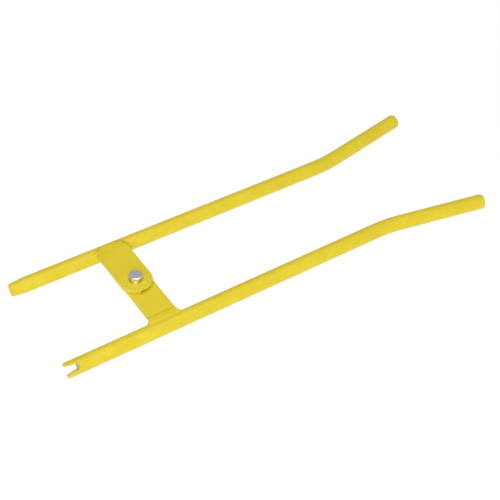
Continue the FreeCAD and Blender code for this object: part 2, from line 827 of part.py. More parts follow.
def make_arm(side):
    tip_shoulder = size("Sizes.TipLength - " + tip_reach(side))
    return [
        make_tube(side),
        make_tip(side),
        make_plug(side),
        make_seam(side, "tip", arm_frame(side, tip_shoulder)),
        make_seam(side, "plug", handle_frame(side, size("Sizes.PlugLength"))),
    ]


def check_document():
    """Stop if any object of the document failed to build."""
    for item in doc.Objects:
        if "Invalid" in item.State or "Error" in item.State:
            raise ValueError("%s failed: %s" % (item.Label, item.State))


def write_parts(nodes):
    os.makedirs("parts", exist_ok=True)
    for node in nodes:
        shape = node.Shape
        if shape.isNull() or not shape.isValid() or shape.Volume <= 0:
            raise ValueError("bad shape: " + node.Label)
    for node in nodes:
        node.Shape.exportStep(os.path.join("parts", node.Label + ".step"))
        box = node.Shape.BoundBox
        print("%-24s solids %d  volume %9.1f  z %6.2f to %6.2f"
              % (node.Label, len(node.Shape.Solids), node.Shape.Volume, box.ZMin, box.ZMax))


sub_parts = make_arm(LEFT) + make_arm(RIGHT)
left_plate = make_left_plate()
right_plate = make_right_plate()
doc.recompute()
sub_parts += [left_plate, right_plate]
sub_parts += make_left_welds(left_plate) + make_right_welds(right_plate)
sub_parts += [make_bolt(), make_washers(), make_bush(), make_spacer(), make_nut(), make_insert()]
doc.recompute()
check_document()
write_parts(sub_parts)
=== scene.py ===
import json
import math

import bmesh
import bpy
import numpy as np
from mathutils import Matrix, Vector
from mathutils.bvhtree import BVHTree


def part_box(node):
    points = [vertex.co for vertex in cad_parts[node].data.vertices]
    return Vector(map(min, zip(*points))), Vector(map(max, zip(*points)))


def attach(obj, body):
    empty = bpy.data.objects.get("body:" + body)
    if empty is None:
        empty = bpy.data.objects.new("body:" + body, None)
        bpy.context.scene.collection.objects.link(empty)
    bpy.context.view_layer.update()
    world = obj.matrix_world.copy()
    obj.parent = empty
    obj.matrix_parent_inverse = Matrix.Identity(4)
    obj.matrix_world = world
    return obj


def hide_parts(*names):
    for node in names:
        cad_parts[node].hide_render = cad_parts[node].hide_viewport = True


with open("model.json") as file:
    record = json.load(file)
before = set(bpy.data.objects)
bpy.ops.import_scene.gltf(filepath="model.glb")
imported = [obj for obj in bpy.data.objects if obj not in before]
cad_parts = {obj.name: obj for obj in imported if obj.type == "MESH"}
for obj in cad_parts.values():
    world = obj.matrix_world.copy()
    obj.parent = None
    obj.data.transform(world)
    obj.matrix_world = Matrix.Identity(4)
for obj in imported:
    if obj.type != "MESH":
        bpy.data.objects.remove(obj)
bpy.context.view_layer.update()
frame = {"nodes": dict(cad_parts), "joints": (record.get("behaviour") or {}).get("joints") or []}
NODES = frame["nodes"]
PIVOT = Vector(frame["joints"][0]["pos_m"])
MM = 0.001
UP = Vector((0, 0, 1))
# The hinge is as high as the tubes' axes, which is the tubes' radius.
TUBE_R = PIVOT.z
# How far each tube's axis is from the hinge, and the angle by which it leans in at the handles.
ARM_OFFSET = 91.3 * MM
ARM_TOE = 0.5
# The chamfer on the CAD plates' edges, and the upper plate's round end about the hinge.
PLATE_CHAMFER = 0.5 * MM
UPPER_ROUND_R = 25.4 * MM

# Mesh helpers ---------------------------------------------------------------------------------


def place_mesh(name, mesh, material, node, body, smooth_angle):
    """A finished mesh piece that stands for one CAD node and rides on its body."""
    work = bmesh.new()
    work.from_mesh(mesh)
    bmesh.ops.remove_doubles(work, verts=work.verts, dist=1e-7)
    bmesh.ops.recalc_face_normals(work, faces=work.faces)
    work.to_mesh(mesh)
    work.free()
    mesh.shade_smooth()
    mesh.set_sharp_from_angle(angle=math.radians(smooth_angle))
    piece = bpy.data.objects.new(name, mesh)
    bpy.context.collection.objects.link(piece)
    mesh.materials.append(material)
    weighted = piece.modifiers.new("face_weighted", "WEIGHTED_NORMAL")
    weighted.keep_sharp = True
    weighted.weight = 80
    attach(piece, body)
    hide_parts(node)
    return piece


def place_piece(name, verts, faces, material, node, body, smooth_angle):
    """The same, from points and faces."""
    mesh = bpy.data.meshes.new(name)
    mesh.from_pydata([tuple(v) for v in verts], [], faces)
    return place_mesh(name, mesh, material, node, body, smooth_angle)


def stitch_rings(rings, closed_ends=True):
    """Points and faces: quads between rings of equal length, with a fan at each end if wanted."""
    count = len(rings[0])
    verts = [point for ring in rings for point in ring]
    faces = []
    for row in range(len(rings) - 1):
        for col in range(count):
            nxt = (col + 1) % count
            a, b = row * count + col, row * count + nxt
            faces.append((a, b, b + count, a + count))
    if closed_ends:
        for row in (0, len(rings) - 1):
            hub = len(verts)
            ring = rings[row]
            verts.append(sum((Vector(p) for p in ring), Vector()) / count)
            for col in range(count):
                nxt = (col + 1) % count
                faces.append((row * count + col, row * count + nxt, hub))
    return verts, faces


def rounded_profile(inner, outer, low, high, rounding):
    """A ring's section as (radius, height) points, with rounded corners, going once round."""
    steps = 4
    corners = (
        (outer - rounding, low + rounding, -90),
        (outer - rounding, high - rounding, 0),
        (inner + rounding, high - rounding, 90),
        (inner + rounding, low + rounding, 180),
    )
    points = []
    for centre_r, centre_z, start in corners:
        for step in range(steps + 1):
            angle = math.radians(start + 90 * step / steps)
            points.append((centre_r + rounding * math.cos(angle),
                           centre_z + rounding * math.sin(angle)))
    return points


def polar_ring(radius_of, height_of, segments=144):
    """A ring round the pivot axis: its radius for each angle, and its height for each radius."""
    ring = []
    for index in range(segments):
        angle = 2 * math.pi * index / segments
        radius = radius_of(angle)
        ring.append((PIVOT.x + radius * math.cos(angle), PIVOT.y + radius * math.sin(angle),
                     height_of(radius)))
    return ring


def circle(radius, height, segments=144):
    return polar_ring(lambda angle: radius, lambda r: height, segments)


def turned_ring(points):
    """A closed section turned about the pivot axis."""
    rings = [circle(radius, height, segments=96) for radius, height in points + points[:1]]
    return stitch_rings(rings, closed_ends=False)


def smooth_step(values, low, high):
    """Zero up to low and one from high, with a soft rise between."""
    t = np.clip((values - low) / (high - low), 0, 1)
    return t * t * (3 - 2 * t)


# Materials ------------------------------------------------------------------------------------


def new_material(name):
    material = bpy.data.materials.new(name)
    material.use_nodes = True
    return material, material.node_tree.nodes, material.node_tree.links


def noise(nodes, links, coords, scale, detail, roughness=0.5):
    texture = nodes.new("ShaderNodeTexNoise")
    texture.inputs["Scale"].default_value = scale
    texture.inputs["Detail"].default_value = detail
    texture.inputs["Roughness"].default_value = roughness
    links.new(coords.outputs["Object"], texture.inputs["Vector"])
    return texture.outputs["Fac"]


def ramp(nodes, links, source, low, high, first, last):
    """A blend from the first colour at low to the last one at high."""
    node = nodes.new("ShaderNodeValToRGB")
    node.color_ramp.elements[0].position = low
    node.color_ramp.elements[0].color = (*first, 1)
    node.color_ramp.elements[1].position = high
    node.color_ramp.elements[1].color = (*last, 1)
    links.new(source, node.inputs["Fac"])
    return node.outputs["Color"]


def spread(nodes, links, source, low, high, to_low, to_high):
    """The source's range from low to high, stretched and clamped to another range."""
    node = nodes.new("ShaderNodeMapRange")
    for key, value in (("From Min", low), ("From Max", high), ("To Min", to_low),
                       ("To Max", to_high)):
        node.inputs[key].default_value = value
    links.new(source, node.inputs["Value"])
    return node.outputs["Result"]


def product(nodes, links, first, second):
    node = nodes.new("ShaderNodeMath")
    node.operation = "MULTIPLY"
    for socket, value in zip(node.inputs, (first, second)):
        if isinstance(value, float):
            socket.default_value = value
        else:
            links.new(value, socket)
    return node.outputs["Value"]


def mix_colour(nodes, links, amount, first, second):
    node = nodes.new("ShaderNodeMix")
    node.data_type = "RGBA"
    links.new(amount, node.inputs["Factor"])
    # A mix node's colour sockets share their names with its number sockets.
    for socket, value in ((node.inputs[6], first), (node.inputs[7], second)):
        if isinstance(value, tuple):
            socket.default_value = (*value, 1)
        else:
            links.new(value, socket)
    return node.outputs[2]


def edge_mask(nodes, links, radius, low, high):
    """One where the surface bends sharply, from a rounded normal against the true one."""
    rounded = nodes.new("ShaderNodeBevel")
    rounded.inputs["Radius"].default_value = radius
    rounded.samples = 4
    geometry = nodes.new("ShaderNodeNewGeometry")
    dot = nodes.new("ShaderNodeVectorMath")
    dot.operation = "DOT_PRODUCT"
    links.new(rounded.outputs["Normal"], dot.inputs[0])
    links.new(geometry.outputs["Normal"], dot.inputs[1])
    return spread(nodes, links, dot.outputs["Value"], low, high, 1.0, 0.0)


def bump(nodes, links, height, strength, distance, normal=None):
    node = nodes.new("ShaderNodeBump")
    node.inputs["Strength"].default_value = strength
    node.inputs["Distance"].default_value = distance
    links.new(height, node.inputs["Height"])
    if normal is not None:
        links.new(normal, node.inputs["Normal"])
    return node.outputs["Normal"]


def yellow_paint(name, slot_shade=0.0, worn=1.0, specular=0.34):
    """Powder coat: cloudy tone, orange peel, and thin chipped edges.

    Worn is how much of that wear the edges show. The other argument sets how strong the painted
    shade is: patchy dark brown that stands in for the shade at the root of the fork slots.
    """
    material, nodes, links = new_material(name)
    shader = nodes["Principled BSDF"]
    coords = nodes.new("ShaderNodeTexCoord")
    broad = noise(nodes, links, coords, 26.0, 4.0)
    tone = ramp(nodes, links, broad, 0.34, 0.66, (0.745, 0.583, 0.021), (0.800, 0.637, 0.030))
    mottle = noise(nodes, links, coords, 260.0, 2.0)
    mottle = spread(nodes, links, mottle, 0.4, 0.75, 0.0, 0.35)
    tone = mix_colour(nodes, links, mottle, tone, (0.71, 0.565, 0.021))
    edges = edge_mask(nodes, links, 0.0008, 0.90, 0.995)
    patches = noise(nodes, links, coords, 90.0, 4.0, 0.65)
    patchy = spread(nodes, links, patches, 0.42, 0.62, 0.0, worn)
    worn_edges = product(nodes, links, edges, patchy)
    thin = product(nodes, links, worn_edges, 0.45)
    tone = mix_colour(nodes, links, thin, tone, (0.56, 0.44, 0.075))
    specks = noise(nodes, links, coords, 620.0, 3.0, 0.7)
    chips = spread(nodes, links, specks, 0.66, 0.70, 0.0, 1.0)
    chips = product(nodes, links, chips, worn_edges)
    tone = mix_colour(nodes, links, chips, tone, (0.23, 0.20, 0.16))
    # Painted shade: patchy dark brown for the shaded root of the fork slots.
    if slot_shade > 0:
        slot_shade_patches = noise(nodes, links, coords, 170.0, 5.0, 0.6)
        slot_shade_patches = spread(nodes, links, slot_shade_patches, 0.50, 0.60, 0.0, slot_shade)
        tone = mix_colour(nodes, links, slot_shade_patches, tone, (0.34, 0.27, 0.16))
    links.new(tone, shader.inputs["Base Color"])
    gloss = noise(nodes, links, coords, 55.0, 3.0)
    links.new(spread(nodes, links, gloss, 0.3, 0.7, 0.36, 0.47), shader.inputs["Roughness"])
    peel = noise(nodes, links, coords, 520.0, 2.0)
    grain = noise(nodes, links, coords, 2600.0, 1.0)
    rough = bump(nodes, links, grain, 0.18, 0.00004)
    links.new(bump(nodes, links, peel, 0.30, 0.00012, rough), shader.inputs["Normal"])
    shader.inputs["Specular IOR Level"].default_value = specular
    return material


def plated_steel(name, dull, bright):
    """Zinc plating: faint tint changes, brighter edges, stains and smudges."""
    material, nodes, links = new_material(name)
    shader = nodes["Principled BSDF"]
    coords = nodes.new("ShaderNodeTexCoord")
    cloud = noise(nodes, links, coords, 240.0, 4.0)
    tone = ramp(nodes, links, cloud, 0.35, 0.68, dull, bright)
    edges = edge_mask(nodes, links, 0.0005, 0.88, 0.99)
    edges = product(nodes, links, edges, 0.6)
    tone = mix_colour(nodes, links, edges, tone, bright)
    stain = noise(nodes, links, coords, 520.0, 4.0, 0.7)
    stain = spread(nodes, links, stain, 0.60, 0.74, 0.0, 0.35)
    tone = mix_colour(nodes, links, stain, tone, (0.42, 0.38, 0.36))
    links.new(tone, shader.inputs["Base Color"])
    shader.inputs["Metallic"].default_value = 1.0
    smudge = noise(nodes, links, coords, 330.0, 3.0)
    links.new(spread(nodes, links, smudge, 0.3, 0.7, 0.24, 0.40), shader.inputs["Roughness"])
    grain = noise(nodes, links, coords, 3200.0, 2.0)
    links.new(bump(nodes, links, grain, 0.22, 0.00003), shader.inputs["Normal"])
    return material


def bearing_metal(name):
    """Plain bronze, cloudy and a little uneven."""
    material, nodes, links = new_material(name)
    shader = nodes["Principled BSDF"]
    coords = nodes.new("ShaderNodeTexCoord")
    cloud = noise(nodes, links, coords, 300.0, 4.0)
    tone = ramp(nodes, links, cloud, 0.35, 0.65, (0.42, 0.25, 0.11), (0.58, 0.37, 0.17))
    links.new(tone, shader.inputs["Base Color"])
    shader.inputs["Metallic"].default_value = 1.0
    links.new(spread(nodes, links, cloud, 0.3, 0.7, 0.30, 0.48), shader.inputs["Roughness"])
    grain = noise(nodes, links, coords, 2500.0, 2.0)
    links.new(bump(nodes, links, grain, 0.2, 0.00003), shader.inputs["Normal"])
    return material


def nylon_plastic(name):
    """Natural nylon, faintly cloudy."""
    material, nodes, links = new_material(name)
    shader = nodes["Principled BSDF"]
    coords = nodes.new("ShaderNodeTexCoord")
    cloud = noise(nodes, links, coords, 420.0, 3.0)
    tone = ramp(nodes, links, cloud, 0.35, 0.65, (0.66, 0.65, 0.56), (0.74, 0.73, 0.66))
    links.new(tone, shader.inputs["Base Color"])
    links.new(spread(nodes, links, cloud, 0.3, 0.7, 0.42, 0.56), shader.inputs["Roughness"])
    links.new(bump(nodes, links, cloud, 0.15, 0.00004), shader.inputs["Normal"])
    return material


PAINT = yellow_paint("yellow_powder_coat")
# Paint with painted shade, for the root of the fork slots.
SLOT_SHADE_PAINT = yellow_paint("yellow_powder_coat_slot_shade", slot_shade=0.5)
WELD_PAINT = yellow_paint("yellow_powder_coat_on_weld", worn=0.0, specular=0.20)
ZINC = plated_steel("bright_zinc_plate", (0.78, 0.76, 0.83), (0.92, 0.89, 0.93))
# Plated metal for the washers, tinted gold all over.
GOLD_TINT_METAL = plated_steel("gold_tinted_plated_metal", (0.80, 0.62, 0.20), (0.95, 0.80, 0.36))
BRONZE = bearing_metal("bronze_bearing")
NYLON = nylon_plastic("natural_nylon")
NODE_FINISH = {"pivot_bush": BRONZE, "plate_spacer": BRONZE, "nut_insert": NYLON}
for node_name, cad_node in NODES.items():
    cad_node.data.materials.clear()
    cad_node.data.materials.append(NODE_FINISH.get(node_name, PAINT))

# Fork tips ------------------------------------------------------------------------------------


def soften_copy(node_name):
    """A copy of a CAD solid whose edges are rounded over, as coated metal is."""
    mesh = NODES[node_name].data.copy()
    holder = bpy.data.objects.new("holder", mesh)
    bpy.context.collection.objects.link(holder)
    work = bmesh.new()
    work.from_mesh(mesh)
    bmesh.ops.remove_doubles(work, verts=work.verts, dist=1e-6)
    work.to_mesh(mesh)
    work.free()
    remesh = holder.modifiers.new("remesh", "REMESH")
    remesh.mode = "VOXEL"
    remesh.voxel_size = 0.3 * MM
    smooth = holder.modifiers.new("smooth", "SMOOTH")
    smooth.factor = 0.5
    smooth.iterations = 3
    graph = bpy.context.evaluated_depsgraph_get()
    finished = bpy.data.meshes.new_from_object(holder.evaluated_get(graph))
    bpy.data.objects.remove(holder)
    finished.materials.clear()
    return finished


def make_fork_tips():
    """The two tips, with softened edges and painted shade in patches at the root of their slots.
    """
    slot_lean = math.radians(45)
    slot_half, slot_shade_from, slot_shade_to = 5.6 * MM, 12 * MM, 20.5 * MM
    for side, word in ((-1, "left"), (1, "right")):
        node = word + "_fork_tip"
        mesh = soften_copy(node)
        piece = place_mesh(word + "_fork", mesh, PAINT, node, word + "_arm", 60.0)
        piece.data.materials.append(SLOT_SHADE_PAINT)
        low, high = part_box(node)
        centre_y = (low[1] + high[1]) / 2
        across = Vector((0, side * math.sin(slot_lean), -math.cos(slot_lean)))
        across.normalize()
        # Faces at the root of each slot get the paint with painted shade.
        for face in piece.data.polygons:
            out = face.center - Vector((0, centre_y, TUBE_R))
            depth = face.center.x - low[0]
            at_root = abs(out.dot(across)) < slot_half and slot_shade_from < depth < slot_shade_to
            slot_wall = abs(face.normal.dot(across)) > 0.6 or face.normal.x < -0.75
            inside = math.hypot(out.y, out.z) < TUBE_R - 0.6 * MM
            if at_root and slot_wall and inside:
                face.material_index = 1


# Plates ---------------------------------------------------------------------------------------


def loops_at(node_name, height):
    """The closed outlines of a CAD mesh's edges at one height, as (x, y) points, longest first."""
    same_height = 0.02 * MM
    work = bmesh.new()
    work.from_mesh(NODES[node_name].data)
    bmesh.ops.remove_doubles(work, verts=work.verts, dist=1e-6)
    level = {v for v in work.verts if abs(v.co.z - height) < same_height}
    following = {}
    for edge in work.edges:
        first, second = edge.verts
        if first in level and second in level:
            following.setdefault(first, []).append(second)
            following.setdefault(second, []).append(first)
    loops = []
    unseen = set(following)
    while unseen:
        start = min(unseen, key=lambda v: (v.co.x, v.co.y))
        loop = [start]
        unseen.discard(start)
        while True:
            options = [v for v in following[loop[-1]] if v in unseen]
            if not options:
                break
            loop.append(options[0])
            unseen.discard(options[0])
        loops.append([(v.co.x, v.co.y) for v in loop])
    work.free()
    return sorted(loops, key=loop_length, reverse=True)


def loop_length(loop):
    return sum(math.dist(a, b) for a, b in zip(loop, loop[1:] + loop[:1]))


def inset_loop(loop, distance):
    """The outline moved to its own inside, with mitred corners."""
    points = np.array(loop)
    area = np.sum(points[:, 0] * np.roll(points[:, 1], -1)
                  - np.roll(points[:, 0], -1) * points[:, 1])
    if area < 0:
        points = points[::-1]
    ahead = np.roll(points, -1, axis=0) - points
    ahead /= np.linalg.norm(ahead, axis=1)[:, None]
    behind = np.roll(ahead, 1, axis=0)
    inward_ahead = np.stack([-ahead[:, 1], ahead[:, 0]], axis=1)
    inward_behind = np.stack([-behind[:, 1], behind[:, 0]], axis=1)
    bisector = inward_ahead + inward_behind
    bisector /= np.linalg.norm(bisector, axis=1)[:, None]
    stretch = np.sum(bisector * inward_ahead, axis=1)
    return points + bisector * (distance / stretch)[:, None]


def finer_round(loop, radius):
    """The outline with extra points on its round about the pivot."""
    on_round, longest_turn, fine_turn = 0.05 * MM, 0.3, math.radians(1.2)
    points = []
    for (x0, y0), (x1, y1) in zip(loop, loop[1:] + loop[:1]):
        points.append((x0, y0))
        first = math.atan2(y0 - PIVOT.y, x0 - PIVOT.x)
        turn = math.atan2(y1 - PIVOT.y, x1 - PIVOT.x) - first
        turn = (turn + math.pi) % (2 * math.pi) - math.pi
        off_round = max(abs(math.hypot(x - PIVOT.x, y - PIVOT.y) - radius)
                        for x, y in ((x0, y0), (x1, y1)))
        if off_round > on_round or abs(turn) > longest_turn:
            continue
        count = max(1, round(abs(turn) / fine_turn))
        for step in range(1, count):
            angle = first + turn * step / count
            points.append((PIVOT.x + radius * math.cos(angle),
                           PIVOT.y + radius * math.sin(angle)))
    return points


def slab_rings(loop, low, high, rounding, outward, nick=None):
    """The wall of a slab as rings from bottom to top, with its edges rolled over.

    A nick is a function that moves a point at a share of the slab's thickness, and it gets extra
    rings to be cut in.
    """
    steps = 4
    levels = []
    for step in range(steps + 1):
        angle = math.radians(90 * step / steps)
        levels.append((low + rounding - rounding * math.cos(angle),
                       rounding - rounding * math.sin(angle)))
    if nick:
        for share in (0.3, 0.46, 0.54, 0.6, 0.66, 0.74):
            levels.append((low + (high - low) * share, 0.0))
    for step in range(steps + 1):
        angle = math.radians(90 * step / steps)
        levels.append((high - rounding + rounding * math.sin(angle),
                       rounding - rounding * math.cos(angle)))
    rings = []
    for height, inset in levels:
        ring = inset_loop(loop, inset if outward else -inset)
        if nick:
            share = (height - low) / (high - low)
            ring = [nick(x, y, share) for x, y in ring]
        rings.append([(x, y, height) for x, y in ring])
    return rings


def cut_nick(x, y, share):
    """The small undercut nick in the rim of the upper plate, over the lower one."""
    middle, depth = -85.5, 4.2 * MM
    angle = math.degrees(math.atan2(y - PIVOT.y, x - PIVOT.x))
    side = 1 - smooth_step(abs(angle - middle), 10.0, 14.5)
    level = 1 - smooth_step(share, 0.54, 0.72)
    radius = math.hypot(x - PIVOT.x, y - PIVOT.y)
    scale = 1 - depth * side * level / radius
    return PIVOT.x + (x - PIVOT.x) * scale, PIVOT.y + (y - PIVOT.y) * scale


def make_plate_piece(word):
    """A plate with rolled edges, from its CAD outline and bore."""
    node = word + "_pivot_plate"
    low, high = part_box(node)
    outline, bore = loops_at(node, high[2] - PLATE_CHAMFER)[:2]
    nick = None
    if word == "right":
        outline = finer_round(outline, UPPER_ROUND_R)
        nick = cut_nick
    walls = (slab_rings(outline, low[2], high[2], 1.0 * MM, True, nick),
             slab_rings(bore, low[2], high[2], 0.3 * MM, False))
    work = bmesh.new()
    caps = ([], [])
    for rings in walls:
        rows = [[work.verts.new(p) for p in ring] for ring in rings]
        count = len(rows[0])
        for lower, upper in zip(rows, rows[1:]):
            for index in range(count):
                nxt = (index + 1) % count
                work.faces.new((lower[index], lower[nxt], upper[nxt], upper[index]))
        for cap, row in zip(caps, (rows[0], rows[-1])):
            for index in range(count):
                cap.append(work.edges.get((row[index], row[(index + 1) % count])))
    for cap in caps:
        bmesh.ops.triangle_fill(work, use_beauty=True, use_dissolve=False, edges=cap)
    if word == "right":
        add_burr(work, low[2])
    mesh = bpy.data.meshes.new(word + "_plate")
    work.to_mesh(mesh)
    work.free()
    return place_mesh(word + "_plate", mesh, PAINT, node, word + "_arm", 35.0)


def add_burr(work, height):
    """The painted burr under the sheared round of the upper plate, broken off at its nick."""
    thick = 0.75 * MM
    sides = 10
    degrees_per_step = 2
    for start, stop in ((-178, -104), (-66, -2)):
        count = int((stop - start) / degrees_per_step)
        rings = []
        for step in range(count + 1):
            angle = math.radians(start + (stop - start) * step / count)
            taper = min(1.0, 0.25 + 0.25 * min(step, count - step))
            ring = []
            for turn in range(sides):
                around = 2 * math.pi * turn / sides
                radius = UPPER_ROUND_R - thick + thick * math.cos(around)
                rise = thick * taper * math.sin(around)
                ring.append(work.verts.new((PIVOT.x + radius * math.cos(angle),
                                            PIVOT.y + radius * math.sin(angle),
                                            height + rise)))
            rings.append(ring)
        for first, second in zip(rings, rings[1:]):
            for turn in range(sides):
                nxt = (turn + 1) % sides
                work.faces.new((first[turn], first[nxt], second[nxt], second[turn]))
        work.faces.new(rings[0])
        work.faces.new(rings[-1])


# Welds ----------------------------------------------------------------------------------------


def height_field(node_names, origin, axes, us, vs):
    """How high the named CAD solids stand along the third axis, over a grid of the others.

    The field is NaN where there is no solid.
    """
    verts, faces = [], []
    for node_name in node_names:
        mesh = NODES[node_name].data
        start = len(verts)
        verts += [v.co.copy() for v in mesh.vertices]
        faces += [tuple(start + i for i in p.vertices) for p in mesh.polygons]
    tree = BVHTree.FromPolygons(verts, faces)
    along, across, out = axes
    sky = 0.06
    field = np.full((len(us), len(vs)), np.nan)
    for i, u in enumerate(us):
        for j, v in enumerate(vs):
            start = origin + along * u + across * v + out * sky
            hit = tree.ray_cast(start, -out, 2 * sky)
            if hit[0] is not None:
                field[i, j] = sky - hit[3]
    return field


def close_field(field, step, radius):
    """The surface that a ball rolling over the height field can't get below."""
    floor = -0.05
    filled = np.where(np.isnan(field), floor, field)
    reach = int(radius / step)
    offsets = []
    for di in range(-reach, reach + 1):
        for dj in range(-reach, reach + 1):
            flat = (di * di + dj * dj) * step * step
            if flat <= radius * radius:
                offsets.append((di, dj, math.sqrt(radius * radius - flat)))
    rows, cols = filled.shape
    padded = np.full((rows + 2 * reach, cols + 2 * reach), floor)
    padded[reach:reach + rows, reach:reach + cols] = filled
    raised = np.full_like(filled, -1.0)
    for di, dj, lift in offsets:
        part = padded[reach + di:reach + di + rows, reach + dj:reach + dj + cols]
        raised = np.maximum(raised, part + lift)
    padded = np.full((rows + 2 * reach, cols + 2 * reach), 1.0)
    padded[reach:reach + rows, reach:reach + cols] = raised
    closed = np.full_like(filled, 1.0)
    for di, dj, lift in offsets:
        part = padded[reach + di:reach + di + rows, reach + dj:reach + dj + cols]
        closed = np.minimum(closed, part - lift)
    return closed


def neighbour_mean(values, mask):
    """The mean of the masked neighbours at every grid point, and how many there are."""
    total = np.zeros_like(values)
    count = np.zeros_like(values)
    safe = np.where(mask, values, 0.0)
    for di in (-1, 0, 1):
        for dj in (-1, 0, 1):
            total += np.roll(np.roll(safe, di, 0), dj, 1)
            count += np.roll(np.roll(mask.astype(float), di, 0), dj, 1)
    return total / np.maximum(count, 1), count


def make_weld(name, node, body, bases, frame_axes, spans, ball, window, crown, ripple):
    """A weld bead over the corner between two CAD solids, with soft toes and fine waves.

    It follows the CAD bead and fills the hollows beside it with a ball of the given radius.
    The window is a function of the grid that fades the bead out where there is none, crown is
    how far its middle bulges, and ripple is the height of the waves along it.
    """
    step, thinnest, full_depth = 0.35 * MM, 0.05 * MM, 1.6 * MM
    wave_length, wave_bow = 2.3 * MM, 0.9
    origin, axes = frame_axes
    us = np.arange(spans[0][0], spans[0][1], step)
    vs = np.arange(spans[1][0], spans[1][1], step)
    base = height_field(bases, origin, axes, us, vs)
    closed = close_field(height_field(bases + (node,), origin, axes, us, vs), step, ball)
    grid_u, grid_v = np.meshgrid(us, vs, indexing="ij")
    keep = window(grid_u, grid_v)
    depth = np.where(np.isnan(base), 0.0, closed - np.nan_to_num(base)) * (keep > 0.01)
    mask = depth > thinnest
    mask[:2, :] = mask[-2:, :] = False
    mask[:, :2] = mask[:, -2:] = False
    level = closed.copy()
    for _ in range(3):
        mean = neighbour_mean(level, mask)[0]
        level = np.where(mask, 0.5 * level + 0.5 * mean, level)
    across_share = (grid_v - spans[1][0]) / (spans[1][1] - spans[1][0])
    phase = grid_u / wave_length + wave_bow * (across_share - 0.5) ** 2 * 4
    wave = 1 - (phase - np.floor(phase)) ** 2
    level = level + smooth_step(depth, 0, full_depth) * (crown + ripple * wave * keep)
    base_level = np.nan_to_num(base, nan=0.0)
    level = np.where(mask, base_level + (level - base_level) * keep, level)
    # The bead's rim dips under the CAD solids, and its underside lies inside them.
    mean, count = neighbour_mean(level, mask)
    rim = (~mask) & (count > 0) & ~np.isnan(base)
    level = np.where(rim, np.minimum(base_level - 0.12 * MM, mean - 0.05 * MM), level)
    under = np.where(mask, base_level, level) - 0.5 * MM
    mean_under = neighbour_mean(under, mask)[0]
    under = np.where(rim, np.minimum(mean_under, level - 0.3 * MM), under)
    mesh = sheet_mesh(name, mask | rim, (level, under), origin, axes, us, vs)
    return place_mesh(name, mesh, WELD_PAINT, node, body, 75.0)


def sheet_mesh(name, used, levels, origin, axes, us, vs):
    """A closed shell over the used part of a grid, between an upper and a lower level."""
    index = np.full(used.shape, -1)
    index[used] = np.arange(used.sum())
    total = int(used.sum())
    along, across, out = axes
    verts = []
    for heights in levels:
        for i, j in zip(*np.nonzero(used)):
            verts.append(origin + along * us[i] + across * vs[j] + out * heights[i, j])
    faces = []
    edge_use = {}
    for i in range(used.shape[0] - 1):
        for j in range(used.shape[1] - 1):
            quad = (index[i, j], index[i + 1, j], index[i + 1, j + 1], index[i, j + 1])
            if min(quad) < 0:
                continue
            faces.append(tuple(int(q) for q in quad))
            faces.append(tuple(int(q) + total for q in reversed(quad)))
            for a, b in zip(quad, quad[1:] + quad[:1]):
                edge_use.setdefault((min(a, b), max(a, b)), []).append((int(a), int(b)))
    for uses in edge_use.values():
        if len(uses) == 1:
            a, b = uses[0]
            faces.append((b, a, a + total, b + total))
    mesh = bpy.data.meshes.new(name)
    mesh.from_pydata([tuple(v) for v in verts], [], faces)
    work = bmesh.new()
    work.from_mesh(mesh)
    bmesh.ops.delete(work, geom=[v for v in work.verts if not v.link_faces], context="VERTS")
    work.to_mesh(mesh)
    work.free()
    return mesh


def weld_frame(node, side, turn):
    """The origin and axes at a weld: along its tube, across it towards the pivot, and out.

    The origin is on the tube's axis. The out axis is turned towards the pivot by the given angle
    from straight up, and the across axis turns down with it.
    """
    low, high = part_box(node)
    toe = math.radians(ARM_TOE if side == "left" else -ARM_TOE)
    along = Vector((math.cos(toe), math.sin(toe), 0))
    inward = Vector((-math.sin(toe), math.cos(toe), 0))
    if side == "right":
        inward = -inward
    angle = math.radians(turn)
    out = UP * math.cos(angle) + inward * math.sin(angle)
    across = inward * math.cos(angle) - UP * math.sin(angle)
    middle = (low[0] + high[0]) / 2
    tube_point = PIVOT - inward * ARM_OFFSET
    origin = tube_point + along * ((middle - tube_point.x) / along.x)
    return origin, (along, across, out)


def top_window(u, v):
    """All of the bead on the lower plate, and beside the plate only what is high on the tube."""
    half_plate = 22.7 * MM
    beside = smooth_step(np.abs(u), half_plate - 1.0 * MM, half_plate + 0.5 * MM)
    limit = 5.6 * MM + (1 - beside) * 20 * MM
    return 1 - smooth_step(v, limit - 1.5 * MM, limit)


def end_window(u, v):
    """The upper plate's bead stops short of the tube's inner side."""
    return 1 - smooth_step(v, 7.5 * MM, 9.5 * MM)


def make_welds():
    half_length = 38 * MM
    make_weld("left_top_bead", "left_plate_top_weld", "left_arm",
              ("left_arm_tube", "left_pivot_plate"),
              weld_frame("left_plate_top_weld", "left", 45),
              ((-half_length, half_length), (-19 * MM, 14 * MM)), ball=7.0 * MM,
              window=top_window, crown=0.15 * MM, ripple=0.14 * MM)
    make_weld("right_end_bead", "right_plate_end_weld", "right_arm",
              ("right_arm_tube", "right_pivot_plate"),
              weld_frame("right_plate_end_weld", "right", 0),
              ((-half_length, half_length), (-21 * MM, 21 * MM)), ball=8.0 * MM,
              window=end_window, crown=0.05 * MM, ripple=0.10 * MM)


# Pivot hardware -------------------------------------------------------------------------------

HEX_FLATS = 19.05 * MM
HEAD_TURN = 27.0
NUT_TURN = 0.0
BOLT_R = 6.35 * MM
THREAD_LENGTH = 15.0 * MM
THREAD_PITCH = 1.27 * MM


def hex_radius(angle, flats, turn):
    """The radius of a hexagon with slightly blunt corners, one of them at the turn angle."""
    blunting = 0.25 * MM
    local = math.radians((math.degrees(angle) - turn + 30) % 60 - 30)
    sharp = flats / 2 / math.cos(math.radians(30) - abs(local))
    return min(sharp, flats / 2 / math.cos(math.radians(30)) - blunting)


